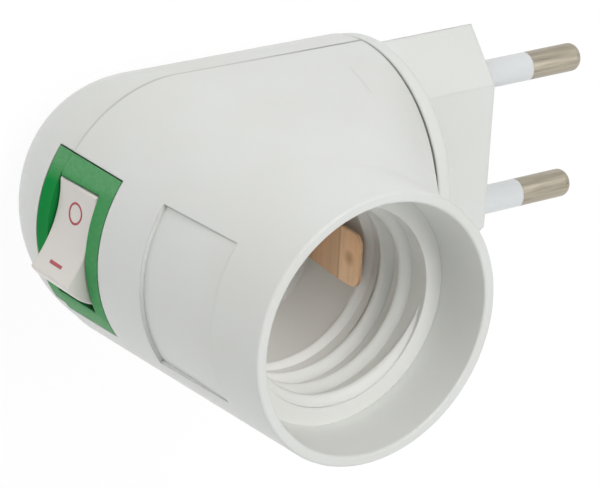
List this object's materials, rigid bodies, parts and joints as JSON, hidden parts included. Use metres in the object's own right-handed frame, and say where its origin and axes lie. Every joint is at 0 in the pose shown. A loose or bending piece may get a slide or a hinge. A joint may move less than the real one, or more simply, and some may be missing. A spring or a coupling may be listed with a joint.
{
  "type": "plug in lamp holder",
  "caption": "Elbow-shaped plug-in lamp holder: screw socket for a lamp at one end, turning round-pin mains plug at the other, rocker switch behind the socket.",
  "frame": {"origin": "centre of the plug's engagement face, midway between its two pins", "axes": "+X along the pins, away from the housing; +Y from pin to pin; +Z along the lamp axis, out of the socket's mouth"},
  "size_m": [0.0893, 0.0376, 0.0634],
  "materials": {
    "housing_white": "satin moulded plastic",
    "cup_white": "satin moulded plastic",
    "plug_white": "satin moulded plastic",
    "sleeve_white": "smooth insulating plastic",
    "pin_metal": "nickel-plated brass with fine drawn lines",
    "contact_brass": "rolled strip",
    "screw_steel": "zinc-plated",
    "switch_green": "semi-gloss moulded plastic",
    "rocker_white": "semi-gloss moulded plastic",
    "plunger_black": "smooth moulded plastic",
    "spring_steel": "bright wire",
    "lead_brown": "wire insulation",
    "lead_blue": "wire insulation"
  },
  "bodies": {
    "plug": {"plug_block": "plug_white", "plug_pin_left": "pin_metal", "plug_pin_right": "pin_metal", "sleeve_left": "sleeve_white", "sleeve_right": "sleeve_white"},
    "housing": {"front_shell": "housing_white", "back_cover": "housing_white", "thread_insert": "cup_white", "side_contact": "contact_brass", "centre_contact": "contact_brass", "contact_screws": "screw_steel", "cover_screws": "screw_steel", "switch_body": "switch_green", "switch_common_terminal": "contact_brass", "switch_output_terminal": "contact_brass", "live_lead": "lead_brown", "neutral_lead": "lead_blue", "switched_lead": "lead_brown"},
    "rocker": {"rocker": "rocker_white", "rocker_plunger": "plunger_black", "rocker_spring": "spring_steel"},
    "contact_lever": {"contact_lever": "contact_brass"}
  },
  "joints": [
    {"name": "plug_swivel", "type": "hinge", "parent": "plug", "child": "housing", "pos_m": [-0.019, 0, 0], "axis": [1, 0, 0], "range_deg": [-90, 90], "deforming": ["live_lead", "neutral_lead"]},
    {"name": "rocker_tilt", "type": "hinge", "parent": "housing", "child": "rocker", "pos_m": [-0.0629, 0, 0.00395], "axis": [0, 0, 1], "range_deg": [0, 40]},
    {"name": "lever_tilt", "type": "hinge", "parent": "housing", "child": "contact_lever", "pos_m": [-0.0579, 0, 0.00395], "axis": [0, 0, 1], "range_deg": [-16, 0]}
  ],
  "couplings": [
    {"joint": "lever_tilt", "follows": "rocker_tilt", "ratio": -0.4}
  ]
}
